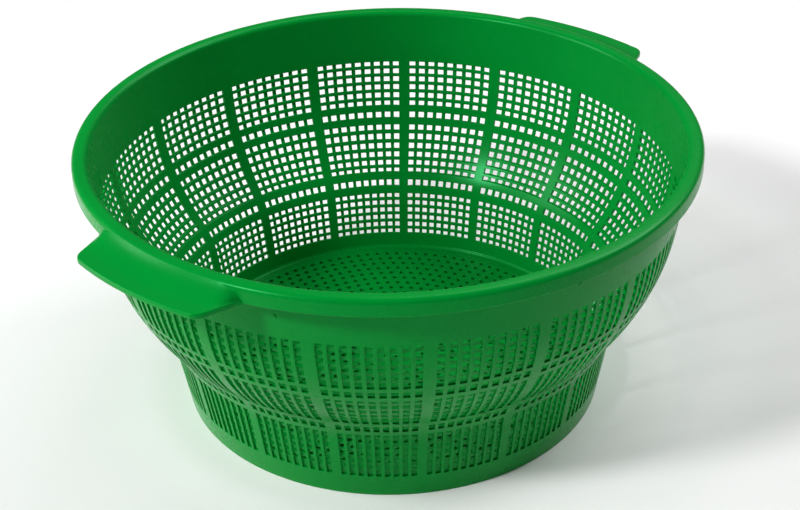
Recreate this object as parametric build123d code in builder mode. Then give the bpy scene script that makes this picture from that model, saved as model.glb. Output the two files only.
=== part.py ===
from build123d import *
from math import atan2, cos, degrees, pi, radians, sin, sqrt, tan
import os

os.makedirs("parts", exist_ok=True)

# A one-piece moulded colander: a deep bowl whose whole side is an openwork grid, a
# rolled rim with a downturned skirt, two wing handles and a drilled floor inside a
# foot ring. Every named piece below is one region of that moulding, and each meets
# its neighbours face to face.
# Origin: middle of the foot's underside. +Z up, handles on -X and +X. Millimetres.

# ---------------------------------------------------------------- driving dimensions
bowl_height = 155.3
rim_radius = 170.0  # outside of the rim's skirt
foot_radius = 119.4
wall = 2.1  # side wall, measured square to its surface

cone_angle = 9.8  # the lower wall leans out from upright
bowl_arc_radius = 113.8  # the upper wall's outside is one long arc
bowl_arc_r = 46.35  # radius of the circle on which that arc's centre lies
bowl_arc_z = 130.3
collar_angle = 6.0
waist_radius = 44.0  # hollow curve between the lower and the upper wall

skirt_bottom = 146.0
skirt_thickness = 1.8
crown_thickness = 2.0
crown_outer_fillet = 3.0
crown_inner_fillet = 3.2

panel_count = 17  # openwork panels around the bowl, with a plain strip between each two
column_count = 9  # columns of holes in each panel
column_pitch = 2.172  # degrees
hole_share = 0.6  # width of a hole as a share of the column pitch
first_strip = -90.0  # one plain strip lies at this angle from +X
ring_share = 0.6  # thickness of a ring as a share of a full hole's height
end_hole_share = 0.85  # height of a panel's first and last holes, as a share of a full one
layer_overlap = 0.1  # bars and rings each reach this far past the middle of the wall

floor_top = 10.2
floor_thickness = 2.2
floor_hole_radius = 1.4
floor_ring_pitch = 5.8
floor_hole_pitch = 6.25
floor_outer_ring = 110.5
floor_ring_count = 19

handle_reach = 189.3
handle_top = 148.1
handle_thickness = 2.8
handle_root_angle = 16.8  # half of the angle that the handle takes up at the rim
handle_tip_angle = 12.9  # the same at the handle's outer edge
handle_corner = 5.0
handle_root_fillet = 4.0

pip_radius = 1.1
pip_height = 0.8
pips = [(-158.8, 136.3), (-104.7, 138.8)]  # angle from +X, height

# Heights at which one piece of the side ends and the next begins.
foot_top = 12.5
lower_mesh_top = 46.9
lower_band_top = 55.9
middle_mesh_top = 84.6
upper_band_top = 92.4
upper_mesh_top = 124.4

# ---------------------------------------------------------------- shape of the wall
cone_slope = tan(radians(cone_angle))
reach = bowl_arc_radius + waist_radius
offset_cone = foot_radius + waist_radius / cos(radians(cone_angle)) - bowl_arc_r
square_term = 1 + cone_slope**2
linear_term = 2 * (cone_slope * offset_cone - bowl_arc_z)
constant_term = offset_cone**2 + bowl_arc_z**2 - reach**2
root = sqrt(linear_term**2 - 4 * square_term * constant_term)
waist_z = (-linear_term - root) / (2 * square_term)
waist_r = bowl_arc_r + offset_cone + cone_slope * waist_z
waist_bottom = waist_z + waist_radius * sin(radians(cone_angle))
waist_top = bowl_arc_z + (waist_z - bowl_arc_z) * bowl_arc_radius / reach
collar_start = bowl_arc_z - bowl_arc_radius * sin(radians(collar_angle))
collar_start_r = bowl_arc_r + bowl_arc_radius * cos(radians(collar_angle))


def outer_radius(z):
    """Radius of the wall's outside at a height."""
    if z < waist_bottom:
        return foot_radius + cone_slope * z
    if z < waist_top:
        return waist_r - sqrt(waist_radius**2 - (z - waist_z) ** 2)
    if z < collar_start:
        return bowl_arc_r + sqrt(bowl_arc_radius**2 - (bowl_arc_z - z) ** 2)
    return collar_start_r + (z - collar_start) * tan(radians(collar_angle))


def wall_radius(z, depth):
    """Radius at a height, this deep into the wall, measured square to its outside."""
    step = 0.01
    slope = (outer_radius(z + step) - outer_radius(z - step)) / (2 * step)
    return outer_radius(z) - depth * sqrt(1 + slope**2)


def meridian(angle):
    """Upright plane through the axis, with its local x pointing outward."""
    a = radians(angle)
    return Plane(origin=(0, 0, 0), x_dir=(cos(a), sin(a), 0), z_dir=(sin(a), -cos(a), 0))


# ---------------------------------------------------------------- openwork bands
panel_angle = 360 / panel_count
hole_angle = hole_share * column_pitch
grid_angle = (column_count - 1) * column_pitch + hole_angle
margin_angle = (panel_angle - grid_angle) / 2


def slot_heights(low, high, rows, shrink):
    """Bottom and top of each row of holes between two heights.

    shrink makes each row this many times as tall as the one above it.
    """
    sizes = [shrink**k for k in range(rows)]
    if rows > 1:
        sizes[0] *= end_hole_share
        sizes[-1] *= end_hole_share
    gaps = [ring_share * shrink ** (k + 0.5) for k in range(rows - 1)]
    unit = (high - low) / (sum(sizes) + sum(gaps))
    slots = []
    top = high
    for size, gap in zip(sizes, gaps + [0]):
        slots.append((top - size * unit, top))
        top -= (size + gap) * unit
    return slots


def openwork(bottom, top, low, high, rows, groove_drop, shrink):
    """Ring of panels between two heights, with its holes between low and high.

    Upright grooves cut the outer layer and level slots cut the inner one, so bars
    stand proud outside, rings run behind them, and a hole is left where the two cross.
    """
    slots = slot_heights(low, high, rows, shrink)
    levels = [bottom] + sorted((a[0] + b[1]) / 2 for a, b in zip(slots, slots[1:])) + [top]

    def radius_at(z, depth):
        """Depth into the faceted wall, whose straight runs end at the levels."""
        for below, above in zip(levels, levels[1:]):
            if z <= above:
                share = (z - below) / (above - below)
                return wall_radius(below, depth) * (1 - share) + wall_radius(above, depth) * share

    def section(heights, outside, inside):
        """Closed outline through the wall, between two depths."""
        out = [(radius_at(z, 0) - outside, z) for z in heights]
        back = [(radius_at(z, wall) + wall - inside, z) for z in reversed(heights)]
        return out + back

    middle = wall / 2
    groove = [low - groove_drop] + levels[1:-1] + [high]
    with BuildPart() as panel:
        with BuildSketch(meridian(first_strip)):
            with BuildLine():
                Polyline(section(levels, 0, wall), close=True)
            make_face()
        revolve(axis=Axis.Z, revolution_arc=panel_angle)
        for column in range(column_count):
            start = first_strip + margin_angle + column * column_pitch
            with BuildSketch(meridian(start)):
                with BuildLine():
                    Polyline(section(groove, -wall, middle + layer_overlap), close=True)
                make_face()
            revolve(axis=Axis.Z, revolution_arc=hole_angle, mode=Mode.SUBTRACT)
        for slot in slots:
            with BuildSketch(meridian(first_strip + margin_angle)):
                with BuildLine():
                    Polyline(section(slot, middle - layer_overlap, 2 * wall), close=True)
                make_face()
            revolve(axis=Axis.Z, revolution_arc=grid_angle, mode=Mode.SUBTRACT)

    def on_seam(face):
        """True on the two upright faces where neighbouring panels join."""
        turn = degrees(atan2(face.center().Y, face.center().X)) - first_strip
        return min(abs(turn), abs(turn - panel_angle)) < 0.001

    skin = [face for face in panel.faces() if not on_seam(face)]
    copies = [face.rotate(Axis.Z, panel_angle * k) for k in range(panel_count) for face in skin]
    return Solid(Shell(copies))


# ---------------------------------------------------------------- foot and floor
with BuildPart() as foot:
    with BuildSketch(meridian(0)):
        with BuildLine():
            Polyline(
                (outer_radius(0), 0),
                (outer_radius(foot_top), foot_top),
                (wall_radius(foot_top, wall), foot_top),
                (wall_radius(0, wall), 0),
                close=True,
            )
        make_face()
    revolve(axis=Axis.Z)
foot.part.label = "foot"
export_step(foot.part, "parts/foot.step")

floor_bottom = floor_top - floor_thickness
with BuildPart() as floor:
    with BuildSketch(meridian(0)):
        with BuildLine():
            Polyline(
                (0, floor_bottom),
                (wall_radius(floor_bottom, wall), floor_bottom),
                (wall_radius(floor_top, wall), floor_top),
                (0, floor_top),
                close=True,
            )
        make_face()
    revolve(axis=Axis.Z)
    for ring in range(floor_ring_count):
        ring_radius = floor_outer_ring - ring * floor_ring_pitch
        count = round(2 * pi * ring_radius / floor_hole_pitch)
        with Locations((0, 0, floor_top)):
            with PolarLocations(ring_radius, count):
                Hole(floor_hole_radius, depth=floor_thickness)
floor.part.label = "floor"
export_step(floor.part, "parts/floor.step", write_pcurves=False)

# ---------------------------------------------------------------- openwork side
# Name, bottom, top, lowest and highest edge of the holes, rows, groove drop, shrink.
bands = [
    ("lower_mesh", foot_top, lower_mesh_top, 19.5, 45.65, 6, 5.3, 1.0),
    ("lower_row_band", lower_mesh_top, lower_band_top, 50.4, 53.8, 1, 1.4, 1.0),
    ("middle_mesh", lower_band_top, middle_mesh_top, 58.0, 83.5, 6, 0.6, 0.92),
    ("upper_row_band", middle_mesh_top, upper_band_top, 87.7, 91.1, 1, 1.1, 1.0),
    ("upper_mesh", upper_band_top, upper_mesh_top, 95.1, 122.9, 6, 1.3, 1.0),
]
for band_name, bottom, top, low, high, rows, groove_drop, shrink in bands:
    panels = openwork(bottom, top, low, high, rows, groove_drop, shrink)
    with BuildPart() as band:
        add(panels, clean=False)
    band.part.label = band_name
    export_step(band.part, f"parts/{band_name}.step", write_pcurves=False)

# ---------------------------------------------------------------- collar and rim
with BuildPart() as collar:
    with BuildSketch(meridian(0)):
        with BuildLine():
            Polyline(
                (outer_radius(upper_mesh_top), upper_mesh_top),
                (outer_radius(skirt_bottom), skirt_bottom),
                (wall_radius(skirt_bottom, wall), skirt_bottom),
                (wall_radius(upper_mesh_top, wall), upper_mesh_top),
                close=True,
            )
        make_face()
    revolve(axis=Axis.Z)
    for angle, height in pips:
        base = outer_radius(height) - wall / 2
        a = radians(angle)
        centre = (base * cos(a), base * sin(a), height)
        with BuildSketch(Plane(origin=centre, z_dir=(cos(a), sin(a), 0))):
            Circle(pip_radius)
        extrude(amount=wall / 2 + pip_height)
collar.part.label = "collar"
export_step(collar.part, "parts/collar.step")

crown_underside = bowl_height - crown_thickness
skirt_inner_radius = rim_radius - skirt_thickness
with BuildPart() as rim:
    with BuildSketch(meridian(0)):
        with BuildLine():
            FilletPolyline(
                (wall_radius(skirt_bottom, wall), skirt_bottom),
                (wall_radius(bowl_height, wall), bowl_height),
                (rim_radius, bowl_height),
                (rim_radius, skirt_bottom),
                (skirt_inner_radius, skirt_bottom),
                (skirt_inner_radius, crown_underside),
                (outer_radius(crown_underside), crown_underside),
                (outer_radius(skirt_bottom), skirt_bottom),
                radius=[crown_inner_fillet, crown_outer_fillet, 0.4, 0.4, 1.2, 0.6],
            )
            Line(
                (outer_radius(skirt_bottom), skirt_bottom),
                (wall_radius(skirt_bottom, wall), skirt_bottom),
            )
        make_face()
    revolve(axis=Axis.Z)
rim.part.label = "rim"
export_step(rim.part, "parts/rim.step")

# ---------------------------------------------------------------- wing handles
handle_bottom = handle_top - handle_thickness
handle_stretch = 1.2  # the side edges run on this far past the outer edge, then are cut


def plan_point(radius, angle):
    return (radius * cos(radians(angle)), radius * sin(radians(angle)))


def side_edge_point(middle_angle, side, share):
    """Point on a handle's side edge: share 0 at the rim, 1 at the outer edge."""
    root_x, root_y = plan_point(rim_radius, middle_angle + side * handle_root_angle)
    tip_x, tip_y = plan_point(handle_reach, middle_angle + side * handle_tip_angle)
    return (root_x + share * (tip_x - root_x), root_y + share * (tip_y - root_y))


for handle_name, middle_angle in (("left_handle", 180.0), ("right_handle", 0.0)):
    with BuildPart() as handle:
        with BuildSketch(meridian(middle_angle - 1.5 * handle_root_angle)):
            with BuildLine():
                Polyline(
                    (rim_radius, handle_bottom),
                    (handle_reach, handle_bottom),
                    (handle_reach, handle_top),
                    (rim_radius + handle_root_fillet, handle_top),
                )
                RadiusArc(
                    (rim_radius + handle_root_fillet, handle_top),
                    (rim_radius, handle_top + handle_root_fillet),
                    handle_root_fillet,
                )
                Line((rim_radius, handle_top + handle_root_fillet), (rim_radius, handle_bottom))
            make_face()
        revolve(axis=Axis.Z, revolution_arc=3 * handle_root_angle)
        with BuildSketch(Plane.XY.offset(handle_bottom)):
            with BuildLine():
                Polyline(
                    side_edge_point(middle_angle, -1, -handle_stretch),
                    side_edge_point(middle_angle, -1, 1 + handle_stretch),
                    side_edge_point(middle_angle, 1, 1 + handle_stretch),
                    side_edge_point(middle_angle, 1, -handle_stretch),
                    close=True,
                )
            make_face()
        extrude(amount=handle_thickness + handle_root_fillet, mode=Mode.INTERSECT)
        upright = handle.edges().filter_by(Axis.Z)
        corners = upright.group_by(SortBy.DISTANCE)[-1]
        fillet(corners, radius=handle_corner)
    handle.part.label = handle_name
    export_step(handle.part, f"parts/{handle_name}.step")
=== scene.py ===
from math import asin, atan2, cos, pi, radians, sin, sqrt, tan

import bmesh
import bpy
import numpy as np
from mathutils import Matrix, Vector


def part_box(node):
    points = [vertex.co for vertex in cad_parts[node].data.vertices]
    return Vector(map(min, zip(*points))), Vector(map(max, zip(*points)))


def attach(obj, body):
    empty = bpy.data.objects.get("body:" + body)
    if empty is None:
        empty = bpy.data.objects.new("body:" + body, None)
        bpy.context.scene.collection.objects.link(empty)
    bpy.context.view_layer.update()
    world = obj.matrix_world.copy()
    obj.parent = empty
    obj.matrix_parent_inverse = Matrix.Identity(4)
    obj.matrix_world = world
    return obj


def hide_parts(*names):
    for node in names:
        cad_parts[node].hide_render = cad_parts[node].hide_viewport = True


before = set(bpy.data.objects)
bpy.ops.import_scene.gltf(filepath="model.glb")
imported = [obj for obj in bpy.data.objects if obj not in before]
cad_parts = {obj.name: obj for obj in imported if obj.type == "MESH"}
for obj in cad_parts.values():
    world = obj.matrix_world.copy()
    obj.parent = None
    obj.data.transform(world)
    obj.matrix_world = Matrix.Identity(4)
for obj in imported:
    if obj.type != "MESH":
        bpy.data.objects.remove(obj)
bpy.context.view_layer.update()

# Lengths are in millimetres and angles in degrees until a mesh is made, which scales them.
# The ground and the lights are placed in metres.
MM = 0.001


# ---------------------------------------------------------------- sizes read from the frame
def node_box(node):
    """Lowest and highest corner of a CAD node, in millimetres."""
    return [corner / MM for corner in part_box(node)]


rim_low, rim_high = node_box("rim")
_, foot_high = node_box("foot")
floor_low, floor_high = node_box("floor")
handle_low, handle_high = node_box("right_handle")
bowl_height = rim_high.z
rim_radius = rim_high.x
skirt_bottom = rim_low.z
foot_top = foot_high.z
floor_top = floor_high.z
floor_bottom = floor_low.z
handle_reach = handle_high.x
handle_bottom = handle_low.z

# ---------------------------------------------------------------- sizes of the moulding
wall = 2.1
cone_angle = 9.8  # lean of the lower wall
waist_radius = 44.0  # of the hollow curve between the lower wall and the bowl's arc
bowl_arc_radius = 113.8  # of the upper wall's outside, which is one long arc
bowl_arc_r = 46.35  # the arc's centre: its distance from the bowl's axis
bowl_arc_z = 130.3  # and its height
collar_angle = 6.0  # lean of the collar

panel_count = 17
column_count = 9  # of holes across a panel
column_pitch = 2.172
hole_share = 0.6  # width of a hole, as a share of the column pitch
ring_share = 0.6  # height of a ring, as a share of a hole's height
end_hole_share = 0.85  # height of a panel's first and last row, as a share of the others'
first_strip = -90.0  # angle from +X of the middle of one plain strip between panels

cone_slope = tan(radians(cone_angle))
foot_radius = foot_high.x - cone_slope * foot_top
panel_angle = 360 / panel_count
hole_angle = hole_share * column_pitch
grid_angle = (column_count - 1) * column_pitch + hole_angle
margin_angle = (panel_angle - grid_angle) / 2

# ---------------------------------------------------------------- shape of the wall
# The waist's centre lies where a circle rolled along the cone also touches the arc.
arc_reach = bowl_arc_radius + waist_radius
cone_offset = foot_radius + waist_radius / cos(radians(cone_angle)) - bowl_arc_r
square_term = 1 + cone_slope**2
linear_term = 2 * (cone_slope * cone_offset - bowl_arc_z)
constant_term = cone_offset**2 + bowl_arc_z**2 - arc_reach**2
root_term = sqrt(linear_term**2 - 4 * square_term * constant_term)
waist_z = (-linear_term - root_term) / (2 * square_term)
waist_r = bowl_arc_r + cone_offset + cone_slope * waist_z
waist_bottom = waist_z + waist_radius * sin(radians(cone_angle))
waist_top = bowl_arc_z + (waist_z - bowl_arc_z) * bowl_arc_radius / arc_reach
collar_start = bowl_arc_z - bowl_arc_radius * sin(radians(collar_angle))
collar_start_r = bowl_arc_r + bowl_arc_radius * cos(radians(collar_angle))


def outer_radius(z):
    """Radius of the wall's outside at each height."""
    z = np.asarray(z, float)
    cone = foot_radius + cone_slope * z
    waist = waist_r - np.sqrt(np.maximum(waist_radius**2 - (z - waist_z) ** 2, 0))
    bowl = bowl_arc_r + np.sqrt(np.maximum(bowl_arc_radius**2 - (bowl_arc_z - z) ** 2, 0))
    collar = collar_start_r + (z - collar_start) * tan(radians(collar_angle))
    ends = [z < waist_bottom, z < waist_top, z < collar_start]
    return np.select(ends, [cone, waist, bowl], collar)


def wall_slope(z):
    """Outward lean of the wall at each height, as radius gained per height."""
    step = 0.01
    return (outer_radius(z + step) - outer_radius(z - step)) / (2 * step)


def wall_radius(z, depth):
    """Radius at a height, this deep into the wall, measured square to its outside."""
    return outer_radius(z) - depth * np.sqrt(1 + wall_slope(z) ** 2)


def skin_point(z, depth=0):
    """Point, as (radius, height), this deep into the wall."""
    return float(wall_radius(z, depth)), z


# ---------------------------------------------------------------- mesh helpers
weld_distance = 1e-6  # metres
skin_tolerance = 5.0  # a face within this of the wall's lean lies in one of its skins


def make_piece(name, verts, faces, nodes, smooth_angle=55.0):
    """Object from points in millimetres, shaded smooth, standing for the CAD nodes."""
    mesh = bpy.data.meshes.new(name)
    mesh.from_pydata([tuple(MM * c for c in v) for v in verts], [], faces)
    bm = bmesh.new()
    bm.from_mesh(mesh)
    bmesh.ops.remove_doubles(bm, verts=bm.verts, dist=weld_distance)
    bmesh.ops.recalc_face_normals(bm, faces=bm.faces)
    bm.to_mesh(mesh)
    bm.free()
    mesh.polygons.foreach_set("use_smooth", [True] * len(mesh.polygons))
    mesh.set_sharp_from_angle(angle=radians(smooth_angle))
    piece = bpy.data.objects.new(name, mesh)
    bpy.context.scene.collection.objects.link(piece)
    weight_normals(piece)
    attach(piece, "root")
    if nodes:
        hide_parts(*nodes)
    piece.data.materials.append(green_plastic)
    return piece


def weight_normals(piece):
    """Gives large faces their own normals and leaves the turning to the small edge faces."""
    modifier = piece.modifiers.new("weighted", "WEIGHTED_NORMAL")
    modifier.keep_sharp = True
    depsgraph = bpy.context.evaluated_depsgraph_get()
    shaded = bpy.data.meshes.new_from_object(piece.evaluated_get(depsgraph), depsgraph=depsgraph)
    piece.modifiers.remove(modifier)
    old = piece.data
    shaded.name = old.name
    piece.data = shaded
    bpy.data.meshes.remove(old)


def match_wall_normals(piece):
    """Makes faces that lie in the wall's two skins shade as the true curved surface.

    Neighbouring pieces then share the same shading along the line where they meet.
    """
    mesh = piece.data
    corner_vertex = np.empty(len(mesh.loops), np.int32)
    mesh.loops.foreach_get("vertex_index", corner_vertex)
    points = np.empty(len(mesh.vertices) * 3)
    mesh.vertices.foreach_get("co", points)
    points = points.reshape(-1, 3)[corner_vertex] / MM
    normals = np.empty(len(mesh.loops) * 3)
    mesh.corner_normals.foreach_get("vector", normals)
    normals = normals.reshape(-1, 3)
    face_normals = np.empty(len(mesh.polygons) * 3)
    mesh.polygons.foreach_get("normal", face_normals)
    face_sizes = np.empty(len(mesh.polygons), np.int32)
    mesh.polygons.foreach_get("loop_total", face_sizes)
    face_normals = np.repeat(face_normals.reshape(-1, 3), face_sizes, axis=0)

    turn = np.arctan2(points[:, 1], points[:, 0])
    slope = wall_slope(points[:, 2])
    true = np.stack([np.cos(turn), np.sin(turn), -slope], 1)
    true /= np.linalg.norm(true, axis=1, keepdims=True)
    facing = np.sum(true * face_normals, axis=1)
    in_skin = np.abs(facing) > cos(radians(skin_tolerance))
    normals[in_skin] = (true * np.sign(facing)[:, None])[in_skin]
    mesh.normals_split_custom_set(normals.tolist())


def panel_turns():
    """Angles from a panel's start at which it and its grooves begin and end."""
    turns = [0.0]
    for column in range(column_count):
        start = margin_angle + column * column_pitch
        turns += [start, start + hole_angle]
    turns.append(panel_angle)
    return turns


def all_angles():
    """Every angle round the bowl at which a panel or a groove begins or ends."""
    turns = panel_turns()[:-1]
    return [first_strip + panel_angle * k + turn for k in range(panel_count) for turn in turns]


def lathe(outline, angles):
    """Points and faces of a closed outline, of (radius, height), turned about the axis."""
    verts = []
    for angle in angles:
        a = radians(angle)
        verts += [(r * cos(a), r * sin(a), z) for r, z in outline]
    count, turns = len(outline), len(angles)
    faces = []
    for t in range(turns):
        near, far = t * count, (t + 1) % turns * count
        for k in range(count):
            nxt = (k + 1) % count
            faces.append((near + k, far + k, far + nxt, near + nxt))
    return verts, faces


def round_corners(points, radii, segments=5):
    """Outline with each corner replaced by an arc of its radius; radius 0 keeps it sharp."""
    outline = []
    count = len(points)
    for i, (corner, radius) in enumerate(zip(points, radii)):
        here = Vector(corner)
        if radius == 0:
            outline.append(tuple(here))
            continue
        back = (Vector(points[i - 1]) - here).normalized()
        ahead = (Vector(points[(i + 1) % count]) - here).normalized()
        half = back.angle(ahead) / 2
        run = radius / tan(half)
        centre = here + (back + ahead).normalized() * (radius / sin(half))
        start = here + back * run - centre
        sweep = pi - 2 * half
        side = 1 if start.x * ahead.y - start.y * ahead.x > 0 else -1
        for step in range(segments + 1):
            turn = side * sweep * step / segments
            x = start.x * cos(turn) - start.y * sin(turn)
            y = start.x * sin(turn) + start.y * cos(turn)
            outline.append((centre.x + x, centre.y + y))
    return outline


# ---------------------------------------------------------------- material
def plastic(name, colour, dark, light):
    """Moulded polypropylene: even colour, a soft sheen, faint flow marks and fine grain.

    The flow marks run from dark to light, which are shares of the colour.
    """
    material = bpy.data.materials.new(name)
    material.use_nodes = True
    nodes, links = material.node_tree.nodes, material.node_tree.links
    shader = nodes["Principled BSDF"]
    shader.inputs["IOR"].default_value = 1.49
    shader.inputs["Specular IOR Level"].default_value = 0.22
    shader.inputs["Specular Tint"].default_value = (0.15, 1.0, 0.4, 1)
    place = nodes.new("ShaderNodeTexCoord")

    def noise(scale, detail):
        texture = nodes.new("ShaderNodeTexNoise")
        texture.inputs["Scale"].default_value = scale
        texture.inputs["Detail"].default_value = detail
        links.new(place.outputs["Object"], texture.inputs["Vector"])
        return texture.outputs["Fac"]

    flow_marks = nodes.new("ShaderNodeValToRGB")
    first, last = flow_marks.color_ramp.elements
    first.position, last.position = 0.3, 0.7
    first.color = (*[c * dark for c in colour], 1)
    last.color = (*[c * light for c in colour], 1)
    links.new(noise(scale=14.0, detail=4.0), flow_marks.inputs["Fac"])
    links.new(flow_marks.outputs["Color"], shader.inputs["Base Color"])

    gloss = nodes.new("ShaderNodeMapRange")
    gloss.inputs["To Min"].default_value = 0.23
    gloss.inputs["To Max"].default_value = 0.31
    links.new(noise(scale=60.0, detail=6.0), gloss.inputs["Value"])
    links.new(gloss.outputs["Result"], shader.inputs["Roughness"])

    grain = nodes.new("ShaderNodeBump")
    grain.inputs["Strength"].default_value = 0.12
    grain.inputs["Distance"].default_value = 0.0002
    links.new(noise(scale=900.0, detail=3.0), grain.inputs["Height"])
    links.new(grain.outputs["Normal"], shader.inputs["Normal"])
    return material


green_plastic = plastic("green_plastic", colour=(0.0, 0.25, 0.028), dark=0.94, light=1.04)

# ---------------------------------------------------------------- openwork bands
bar_edge = 0.3  # rounding of the bars and the rings
edge_turn = 1.0  # in radians; an outward edge that turns by more than this is rounded
line_gap = 3.6  # greatest height between two lines of points on the wall
waist_line_gap = 1.6  # the same in and near the waist, where the wall curves hard
near_waist = 2.0


def slot_heights(low, high, rows, shrink):
    """Bottom and top of each row of holes; each row is shrink times as tall as the one above."""
    sizes = [shrink**k for k in range(rows)]
    if rows > 1:
        sizes[0] *= end_hole_share
        sizes[-1] *= end_hole_share
    gaps = [ring_share * shrink ** (k + 0.5) for k in range(rows - 1)]
    unit = (high - low) / (sum(sizes) + sum(gaps))
    slots = []
    top = high
    for size, gap in zip(sizes, gaps + [0]):
        slots.append((top - size * unit, top))
        top -= (size + gap) * unit
    return slots


def height_lines(bottom, top, marks):
    """The marked heights with more between them, closer together where the wall curves hard."""
    marks = sorted(set([bottom, top] + marks))
    lines = [marks[0]]
    for low, high in zip(marks, marks[1:]):
        in_waist = low < waist_top + near_waist and high > waist_bottom - near_waist
        count = int(np.ceil((high - low) / (waist_line_gap if in_waist else line_gap)))
        lines += [low + (high - low) * k / count for k in range(1, count + 1)]
    return lines


def flat_panel(turns, lines, grooves=(), groove_span=(0, 0), slots=(), slot_span=(0, 0)):
    """One panel laid flat: two layers of cells, with the grooves cut in the outer one and the
    slots in the inner one, and every edge that shows rounded over.

    Grooves and the slots' span are angles; slots and the grooves' span are heights. Returns
    points of (degrees, height, depth) and faces.
    """
    stretch = radians(1) * float(outer_radius((lines[0] + lines[-1]) / 2))
    columns, rows = len(turns) - 1, len(lines) - 1

    def is_cut(across, gaps, along, span):
        return any(a < across < b for a, b in gaps) and span[0] < along < span[1]

    solid = {}
    for column in range(columns):
        for row in range(rows):
            turn = (turns[column] + turns[column + 1]) / 2
            line = (lines[row] + lines[row + 1]) / 2
            solid[column, row, 0] = not is_cut(turn, grooves, line, groove_span)
            solid[column, row, 1] = not is_cut(line, slots, turn, slot_span)

    bm = bmesh.new()
    corners = {}

    def corner(column, row, level):
        key = (column, row, level)
        if key not in corners:
            depth = wall * level / 2
            corners[key] = bm.verts.new((turns[column] * stretch, lines[row], -depth))
        return corners[key]

    def face(*keys):
        bm.faces.new([corner(*key) for key in keys])

    # A panel's two sides stay open, because its neighbours join on there.
    for (c, r, level), full in solid.items():
        if not full:
            continue
        near, far = level, level + 1
        if not solid.get((c, r, level - 1), False):
            face((c, r, near), (c + 1, r, near), (c + 1, r + 1, near), (c, r + 1, near))
        if not solid.get((c, r, level + 1), False):
            face((c, r, far), (c, r + 1, far), (c + 1, r + 1, far), (c + 1, r, far))
        if c > 0 and not solid[c - 1, r, level]:
            face((c, r, near), (c, r + 1, near), (c, r + 1, far), (c, r, far))
        if c < columns - 1 and not solid[c + 1, r, level]:
            face((c + 1, r, near), (c + 1, r, far), (c + 1, r + 1, far), (c + 1, r + 1, near))
        if not solid.get((c, r - 1, level), False):
            face((c, r, near), (c, r, far), (c + 1, r, far), (c + 1, r, near))
        if not solid.get((c, r + 1, level), False):
            face((c, r + 1, near), (c + 1, r + 1, near), (c + 1, r + 1, far), (c, r + 1, far))

    bm.normal_update()
    low, high = lines[0], lines[-1]

    def on_end(edge):
        heights = [v.co.y for v in edge.verts]
        return max(heights) - low < 1e-6 or high - min(heights) < 1e-6

    def shows(edge):
        if len(edge.link_faces) != 2 or on_end(edge):
            return False
        return edge.calc_face_angle_signed() > edge_turn

    rounded = [edge for edge in bm.edges if shows(edge)]
    if rounded:
        bmesh.ops.bevel(
            bm, geom=rounded, offset=bar_edge, offset_type="OFFSET", segments=2, profile=0.5,
            affect="EDGES", clamp_overlap=True,
        )
    bm.verts.index_update()
    verts = [(v.co.x / stretch, v.co.y, -v.co.z) for v in bm.verts]
    faces = [[v.index for v in f.verts] for f in bm.faces]
    bm.free()
    return verts, faces


def wrap_panels(name, verts, faces, node):
    """Bends a flat panel onto the wall, repeats it round the bowl and joins the seams."""
    flat = np.array(verts)
    radius = wall_radius(flat[:, 1], flat[:, 2])
    all_verts, all_faces = [], []
    for k in range(panel_count):
        angle = np.radians(first_strip + panel_angle * k + flat[:, 0])
        points = np.stack([radius * np.cos(angle), radius * np.sin(angle), flat[:, 1]], 1)
        shift = len(all_verts)
        all_verts += points.tolist()
        all_faces += [[i + shift for i in face] for face in faces]
    match_wall_normals(make_piece(name, all_verts, all_faces, [node]))


def openwork(name, node, low, high, rows, groove_drop, shrink=1.0):
    """Band of openwork panels over the height of its CAD node.

    The holes lie between low and high, and the outer grooves run on below them by groove_drop.
    """
    box_low, box_high = node_box(node)
    slots = slot_heights(low, high, rows, shrink)
    marks = [low - groove_drop] + [mark for slot in slots for mark in slot]
    lines = height_lines(box_low.z, box_high.z, marks)
    turns = panel_turns()
    grooves = list(zip(turns[1:-1:2], turns[2::2]))
    groove_span, slot_span = (low - groove_drop, high), (turns[1], turns[-2])
    wrap_panels(name, *flat_panel(turns, lines, grooves, groove_span, slots, slot_span), node)


def plain_band(name, node):
    """Band of plain wall over the height of its CAD node."""
    box_low, box_high = node_box(node)
    lines = height_lines(box_low.z, box_high.z, [])
    wrap_panels(name, *flat_panel(panel_turns(), lines), node)


openwork("upper_grid", "upper_mesh", low=95.1, high=122.9, rows=6, groove_drop=1.3)
openwork("upper_row", "upper_row_band", low=87.7, high=91.1, rows=1, groove_drop=1.1)
openwork("middle_grid", "middle_mesh", low=58.0, high=83.5, rows=6, groove_drop=0.6, shrink=0.92)
openwork("lower_row", "lower_row_band", low=50.4, high=53.8, rows=1, groove_drop=1.4)
openwork("lower_grid", "lower_mesh", low=19.5, high=45.65, rows=6, groove_drop=5.3)
plain_band("collar_wall", "collar")

# ---------------------------------------------------------------- foot
foot_edge = 0.5
foot_outline = round_corners(
    [skin_point(0), skin_point(foot_top), skin_point(foot_top, wall), skin_point(0, wall)],
    [foot_edge, 0, 0, foot_edge],
)
match_wall_normals(make_piece("foot_ring", *lathe(foot_outline, all_angles()), ["foot"]))

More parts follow.
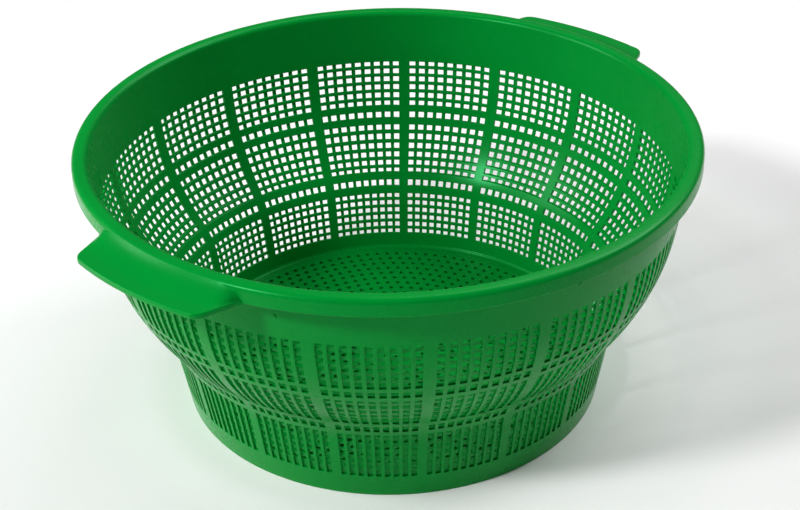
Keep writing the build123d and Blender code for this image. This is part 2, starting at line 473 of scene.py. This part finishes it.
# ---------------------------------------------------------------- rim
skirt_thickness = 1.8
crown_thickness = 2.0
crown_rounding = 3.0  # of the crown's outer edge
crown_inner_rounding = 3.2
skirt_edge = 0.5
skirt_fillet = 1.2  # in the hollow, between the skirt and the crown
wall_fillet = 0.6  # in the hollow, between the crown and the wall
skirt_inner = rim_radius - skirt_thickness
crown_underside = bowl_height - crown_thickness
rim_corners = [  # each with its rounding
    (skin_point(skirt_bottom, wall), 0),
    (skin_point(bowl_height, wall), crown_inner_rounding),
    ((rim_radius, bowl_height), crown_rounding),
    ((rim_radius, skirt_bottom), skirt_edge),
    ((skirt_inner, skirt_bottom), skirt_edge),
    ((skirt_inner, crown_underside), skirt_fillet),
    (skin_point(crown_underside), wall_fillet),
    (skin_point(skirt_bottom), 0),
]
rim_outline = round_corners(*zip(*rim_corners), segments=8)
match_wall_normals(make_piece("rolled_rim", *lathe(rim_outline, all_angles()), ["rim"]))

# ---------------------------------------------------------------- pips on the collar
pip_radius = 1.1
pip_height = 0.6
pip_sink = 0.2  # the dome starts this deep in the wall
pip_sides = 16
pip_places = [(-158.8, 136.3), (-104.7, 138.8)]  # angle from +X, height


def pips():
    """Two low domes on the collar's outside, each rooted in the wall."""
    domes = [(pip_radius * cos(a), pip_height * sin(a)) for a in np.linspace(0, pi / 2, 5)[:-1]]
    steps = [(pip_radius, -wall / 2), (pip_radius, -pip_sink)] + domes
    verts, faces = [], []
    for angle, height in pip_places:
        out = Vector((cos(radians(angle)), sin(radians(angle)), 0))
        side = Vector((-out.y, out.x, 0))
        base = out * float(outer_radius(height)) + Vector((0, 0, height))
        rings = []
        for radius, rise in steps:
            rings.append(range(len(verts), len(verts) + pip_sides))
            for k in range(pip_sides):
                turn = 2 * pi * k / pip_sides
                across = side * cos(turn) + Vector((0, 0, sin(turn)))
                verts.append(tuple(base + out * rise + across * radius))
        top = len(verts)
        verts.append(tuple(base + out * pip_height))
        for k in range(pip_sides):
            nxt = (k + 1) % pip_sides
            for low, high in zip(rings, rings[1:]):
                faces.append((low[k], low[nxt], high[nxt], high[k]))
            faces.append((rings[-1][k], rings[-1][nxt], top))
        faces.append(tuple(rings[0]))
    make_piece("collar_pips", verts, faces, [])


pips()

# ---------------------------------------------------------------- drilled floor
hole_radius = 1.4
hole_edge = 0.25  # rounding round each hole
hole_pitch = 6.25  # along a ring of holes
ring_pitch = 5.8  # from one ring to the next
outer_ring = 110.5  # radius of the outermost ring
ring_count = 19
floor_fillet = 1.5  # where the floor turns up into the wall
fillet_steps = 6
seam = 0.15  # half the width of the strip that joins one ring of cells to the next
hole_sides = 12  # as many as the points round a cell, whose four sides are in thirds


def join_rings(outer, inner):
    """Triangles between two closed rings of (angle, vertex), sorted by angle."""
    faces = []
    a = b = 0
    while a < len(outer) or b < len(inner):
        next_a = outer[a + 1][0] if a + 1 < len(outer) else outer[0][0] + 2 * pi
        next_b = inner[b + 1][0] if b + 1 < len(inner) else inner[0][0] + 2 * pi
        here_a, here_b = outer[a % len(outer)][1], inner[b % len(inner)][1]
        if b >= len(inner) or (a < len(outer) and next_a <= next_b):
            faces.append((here_a, outer[(a + 1) % len(outer)][1], here_b))
            a += 1
        else:
            faces.append((here_a, inner[(b + 1) % len(inner)][1], here_b))
            b += 1
    return faces


def floor_ring(verts, faces, level, rise, radius, count):
    """One face of a ring of square cells, each with a round hole in its middle.

    Returns the ring's outer and inner boundary and the rim of each hole.
    """
    width = 2 * pi / count
    reach_out, reach_in = radius + ring_pitch / 2 - seam, radius - ring_pitch / 2 + seam
    outer, inner, holes = [], [], []

    def point(r, angle):
        verts.append((r * cos(angle), r * sin(angle), level))
        return len(verts) - 1

    sides = []
    for k in range(count):
        edge = (k - 0.5) * width
        column = [point(reach_out - (reach_out - reach_in) * j / 3, edge) for j in range(4)]
        sides.append(column)
        outer.append((edge, column[0]))
        inner.append((edge, column[3]))
        for j in (1, 2):
            angle = edge + width * j / 3
            outer.append((angle, point(reach_out, angle)))
            inner.append((angle, point(reach_in, angle)))
    for k in range(count):
        near, far = sides[k], sides[(k + 1) % count]
        first = 3 * k
        loop = [
            outer[first + 2][1], far[0], far[1], far[2], far[3], inner[first + 2][1],
            inner[first + 1][1], near[3], near[2], near[1], near[0], outer[first + 1][1],
        ]
        centre = k * width
        out = Vector((cos(centre), sin(centre)))
        side = Vector((-out.y, out.x))
        rims = []
        for wide, z in ((hole_radius + hole_edge, level), (hole_radius, level - rise * hole_edge)):
            rim = []
            for j in range(hole_sides):
                turn = 2 * pi * (j + 0.5) / hole_sides
                spot = out * (radius + wide * cos(turn)) + side * (wide * sin(turn))
                verts.append((spot.x, spot.y, z))
                rim.append(len(verts) - 1)
            rims.append(rim)
        for j in range(hole_sides):
            nxt = (j + 1) % hole_sides
            faces.append((loop[j], loop[nxt], rims[0][nxt], rims[0][j]))
            faces.append((rims[0][j], rims[0][nxt], rims[1][nxt], rims[1][j]))
        holes.append(rims[1])
    return outer, inner, holes


def drilled_floor():
    """Flat bottom with rings of round holes, turned up into the wall at its edge."""
    verts, faces = [], []
    edges, holes = [], []
    for level, rise in ((floor_top, 1), (floor_bottom, -1)):
        previous = None
        level_holes = []
        for ring in range(ring_count):
            radius = outer_ring - ring * ring_pitch
            count = round(2 * pi * radius / hole_pitch)
            outer, inner, rims = floor_ring(verts, faces, level, rise, radius, count)
            if previous:
                faces += join_rings(previous, outer)
            else:
                edges.append(outer)
            previous = inner
            level_holes += rims
        faces.append(tuple(vertex for _, vertex in previous))
        holes.append(level_holes)
    for above, below in zip(*holes):
        for j in range(hole_sides):
            nxt = (j + 1) % hole_sides
            faces.append((above[j], above[nxt], below[nxt], below[j]))

    # The edge goes up the fillet, over into the wall, and down to the underside.
    wall_foot = float(wall_radius(floor_top, wall))
    turn_up = floor_top + floor_fillet
    rows = []
    for k in range(fillet_steps):
        angle = pi / 2 * k / fillet_steps
        inward = floor_fillet * (1 - sin(angle))
        rows.append((wall_foot - inward, turn_up - floor_fillet * cos(angle)))
    rows.append(skin_point(turn_up, wall))
    rows.append(skin_point(turn_up, wall / 2))
    rows.append(skin_point(floor_bottom, wall / 2))
    rings = [edges[0]]
    for radius, height in rows:
        ring = []
        for angle, _ in edges[0]:
            verts.append((radius * cos(angle), radius * sin(angle), height))
            ring.append((angle, len(verts) - 1))
        rings.append(ring)
    rings.append(edges[1])
    for near, far in zip(rings, rings[1:]):
        for k in range(len(near)):
            nxt = (k + 1) % len(near)
            faces.append((near[k][1], near[nxt][1], far[nxt][1], far[k][1]))
    make_piece("drilled_floor", verts, faces, ["floor"], smooth_angle=50.0)


drilled_floor()

# ---------------------------------------------------------------- wing handles
handle_root_angle = 16.8  # half of the angle that a handle takes up at the rim
handle_tip_angle = 12.9  # the same at its outer edge
handle_corner = 8.0
handle_edge = 1.1  # rounding of the upper edge
handle_under_edge = 0.3
handle_overhang = 1.1  # how far the handle reaches past the CAD one
root_overlap = 1.2  # how far its side edges start inside the skirt's outer face
flare_run = 4.0  # the side edges widen over this distance from the skirt
flare_width = 0.8
flare_power = 2.5  # how late the widening comes
cad_fillet = 4.0  # of the CAD handle, above its upper face
wing_reach = handle_reach + handle_overhang
handle_top = handle_high.z - cad_fillet
# The upper face leaves the crown halfway round its outer rounding and sweeps down in one arc.
root_radius = rim_radius - crown_rounding * (1 - sin(pi / 4))
root_height = bowl_height - crown_rounding * (1 - cos(pi / 4))
dish_drop = root_height - handle_top
dish_run = dish_drop * sin(pi / 4) / (1 - cos(pi / 4))


def plan_point(angle, radius):
    """Point seen from above, at an angle from +X in radians."""
    return Vector((cos(angle), sin(angle))) * radius


def wing_outline():
    """Plan of a handle on +X: (point, inward normal), from one root to the other."""
    at_root = plan_point(radians(handle_root_angle), rim_radius)
    at_tip = plan_point(radians(handle_tip_angle), wing_reach)
    along = (at_tip - at_root).normalized()
    outward = Vector((-along.y, along.x))
    start = at_root - outward * handle_corner
    ahead = start.dot(along)
    inside = wing_reach - handle_corner
    travel = -ahead + sqrt(ahead**2 - start.length_squared + inside**2)
    centre = start + along * travel

    side = []
    for k in range(15):
        spot = at_root + along * (travel * k / 14 - root_overlap * (1 - k / 14))
        beyond = min(max(spot.length - rim_radius, 0), flare_run)
        side.append(spot + outward * flare_width * (1 - beyond / flare_run) ** flare_power)
    first, last = atan2(outward.y, outward.x), atan2(centre.y, centre.x)
    corner = [centre + plan_point(a, handle_corner) for a in np.linspace(first, last, 10)[1:]]
    edge = [plan_point(a, wing_reach) for a in np.linspace(last, 0, 14)[1:]]
    half = side + corner + edge
    points = half + [Vector((p.x, -p.y)) for p in reversed(half[:-1])]
    outline = []
    for k, point in enumerate(points):
        before, after = points[max(k - 1, 0)], points[min(k + 1, len(points) - 1)]
        run = (after - before).normalized()
        outline.append((point, Vector((run.y, -run.x))))
    return outline


def dish_height(away_from_root):
    """How far the upper face stands above the plate's flat part, this far from its root."""
    share = max(1 - away_from_root / dish_run, 0)
    return dish_drop * (1 - cos(asin(share * sin(pi / 4)))) / (1 - cos(pi / 4))


def wing(name, node, middle_angle):
    """Wing handle: a plate with rounded edges whose upper face sweeps up into the crown."""
    outline = wing_outline()
    columns = []
    root_half = atan2(outline[0][0].y, outline[0][0].x)
    reach = [0.0]
    for (here, _), (there, _) in zip(outline, outline[1:]):
        reach.append(reach[-1] + (there - here).length)
    for (point, inward), run in zip(outline, reach):
        column = []
        for a in np.linspace(pi / 2, 0, 4):
            spot = point + inward * handle_under_edge * (1 - cos(a))
            column.append((spot, handle_bottom + handle_under_edge * (1 - sin(a))))
        for a in np.linspace(0, pi / 2, 6):
            spot = point + inward * handle_edge * (1 - cos(a))
            column.append((spot, handle_top - handle_edge * (1 - sin(a))))
        crest = column[-1][0]
        root = plan_point(root_half * (1 - 2 * run / reach[-1]), root_radius)
        length = (crest - root).length
        for t in np.linspace(0, 1, 16)[1:]:
            rise = dish_height(length * (1 - t)) - dish_height(length) * (1 - t / 2)
            column.append((crest.lerp(root, t), handle_top + rise))
        column.append((root, handle_bottom))
        columns.append(column)
    turned = Matrix.Rotation(radians(middle_angle), 2)
    verts = []
    for column in columns:
        for spot, height in column:
            place = turned @ spot
            verts.append((place.x, place.y, height))
    count = len(columns[0])
    faces = []
    for c in range(len(columns) - 1):
        near, far = c * count, (c + 1) * count
        for k in range(count):
            nxt = (k + 1) % count
            faces.append((near + k, near + nxt, far + nxt, far + k))
    faces.append(tuple(range(count)))
    faces.append(tuple(range((len(columns) - 1) * count, len(columns) * count)))
    make_piece(name, verts, faces, [node], smooth_angle=60.0)


wing("left_wing", "left_handle", 180.0)
wing("right_wing", "right_handle", 0.0)

# ---------------------------------------------------------------- camera
camera_distance = 815.2  # level distance from the bowl's axis
camera_height = 573.0
camera_bearing = -138.77  # where the camera stands, as an angle from +X
camera_heading = 0.3712  # aim to the right of the axis
camera_pitch = 31.372  # aim below level
camera_roll = 1.248
lens_per_sensor = 2.1061  # focal length over the sensor's width

away = Vector((-cos(radians(camera_bearing)), -sin(radians(camera_bearing)), 0))
right_level = Vector((away.y, -away.x, 0))
heading, pitch, roll = map(radians, (camera_heading, camera_pitch, camera_roll))
ahead = away * cos(heading) + right_level * sin(heading)
forward = ahead * cos(pitch) - Vector((0, 0, 1)) * sin(pitch)
right = right_level * cos(heading) - away * sin(heading)
up = right.cross(forward)
right_rolled = right * cos(roll) - up * sin(roll)
up_rolled = up * cos(roll) + right * sin(roll)

camera = bpy.data.objects.new("camera", bpy.data.cameras.new("camera"))
bpy.context.scene.collection.objects.link(camera)
camera.data.lens = lens_per_sensor * camera.data.sensor_width
camera.data.clip_end = 20
aim = Matrix((right_rolled, up_rolled, -forward)).transposed().to_4x4()
stand = -away * camera_distance + Vector((0, 0, camera_height))
camera.matrix_world = Matrix.Translation(stand * MM) @ aim
bpy.context.scene.camera = camera

# ---------------------------------------------------------------- ground and light
ground_reach = 6
quarters = ((-1, -1), (1, -1), (1, 1), (-1, 1))
ground_corners = [(ground_reach * x, ground_reach * y, 0) for x, y in quarters]
ground_mesh = bpy.data.meshes.new("ground")
ground_mesh.from_pydata(ground_corners, [], [(0, 1, 2, 3)])
ground = bpy.data.objects.new("ground", ground_mesh)
bpy.context.scene.collection.objects.link(ground)
pale = bpy.data.materials.new("pale_ground")
pale.use_nodes = True
pale_shader = pale.node_tree.nodes["Principled BSDF"]
pale_shader.inputs["Base Color"].default_value = (0.9, 0.9, 0.9, 1)
pale_shader.inputs["Roughness"].default_value = 0.9
ground_mesh.materials.append(pale)

light_target = Vector((0, 0, 0.08))  # a point in the middle of the bowl
light_distance = 2.0


def soft_light(name, turn, rise, size, power):
    """Square area light that stands away from the bowl and is aimed at it.

    Turn is its angle clockwise from the camera, seen from above, and rise its angle upward.
    """
    light = bpy.data.objects.new(name, bpy.data.lights.new(name, "AREA"))
    bpy.context.scene.collection.objects.link(light)
    light.data.shape = "SQUARE"
    light.data.size = size
    light.data.energy = power
    level = -away * cos(radians(turn)) - right_level * sin(radians(turn))
    out = level * cos(radians(rise)) + Vector((0, 0, sin(radians(rise))))
    light.location = light_target + light_distance * out
    light.rotation_euler = (-out).to_track_quat("-Z", "Y").to_euler()


soft_light("left", turn=90, rise=24, size=0.9, power=23)
soft_light("key", turn=56, rise=42, size=0.3, power=25)
soft_light("right", turn=248, rise=46, size=1.0, power=22)
soft_light("back", turn=205, rise=52, size=1.0, power=8)

world = bpy.data.worlds.new("studio")
bpy.context.scene.world = world
world.use_nodes = True
background = world.node_tree.nodes["Background"]
background.inputs["Color"].default_value = (1, 1, 1, 1)
background.inputs["Strength"].default_value = 0.07
bpy.context.scene.view_settings.view_transform = "Standard"
